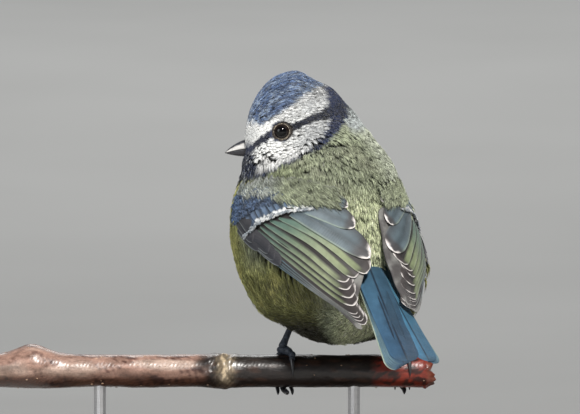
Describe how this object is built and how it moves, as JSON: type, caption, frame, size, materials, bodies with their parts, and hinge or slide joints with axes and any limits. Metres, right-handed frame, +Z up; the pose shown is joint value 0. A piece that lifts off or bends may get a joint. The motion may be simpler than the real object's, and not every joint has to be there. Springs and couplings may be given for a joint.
{
  "type": "blue tit model",
  "caption": "Life-size small songbird perched on a cut twig, seen from behind with its head turned, held up by a flat base and slim rods.",
  "frame": {"origin": "centre of the underside of the stand's base", "axes": "+Z up, X along the twig with its broken end at +X, the bird's back and tail towards -Y and its bill towards -X"},
  "size_m": [0.128, 0.0894, 0.1093],
  "materials": {
    "plumage_body": "soft overlapping feathers, grey-green back and yellow underparts",
    "plumage_head": "short soft feathers, white face with blue cap and dark blue lines",
    "wing_coverts": "smooth blue covert feathers with a white bar",
    "flight_feathers": "stiff dark vanes with pale green edges and white tips",
    "tail_feathers": "stiff light blue vanes",
    "bill": "smooth horn, silver grey above and black below",
    "eye": "wet and glossy, near black",
    "leg_scales": "scaled blue-grey skin",
    "claw": "dark horn",
    "bark": "smooth glossy reddish bark with pale pores",
    "stand_wood": "dark satin lacquered wood",
    "stand_steel": "satin steel rods"
  },
  "bodies": {
    "root": {"trunk": "plumage_body", "neck": "plumage_head", "head": "plumage_head", "bill_upper": "bill", "bill_lower": "bill", "eye_l": "eye", "eye_r": "eye", "wing_coverts_l": "wing_coverts", "wing_secondaries_l": "flight_feathers", "wing_primaries_l": "flight_feathers", "wing_coverts_r": "wing_coverts", "wing_secondaries_r": "flight_feathers", "wing_primaries_r": "flight_feathers", "tail": "tail_feathers", "thigh_l": "plumage_body", "shank_l": "leg_scales", "foot_l": "leg_scales", "claw_inner_l": "claw", "claw_middle_l": "claw", "claw_outer_l": "claw", "claw_hind_l": "claw", "thigh_r": "plumage_body", "shank_r": "leg_scales", "foot_r": "leg_scales", "claw_inner_r": "claw", "claw_middle_r": "claw", "claw_outer_r": "claw", "claw_hind_r": "claw", "perch": "bark", "stand_base": "stand_wood", "stand_rod_left": "stand_steel", "stand_rod_right": "stand_steel"}
  },
  "joints": []
}
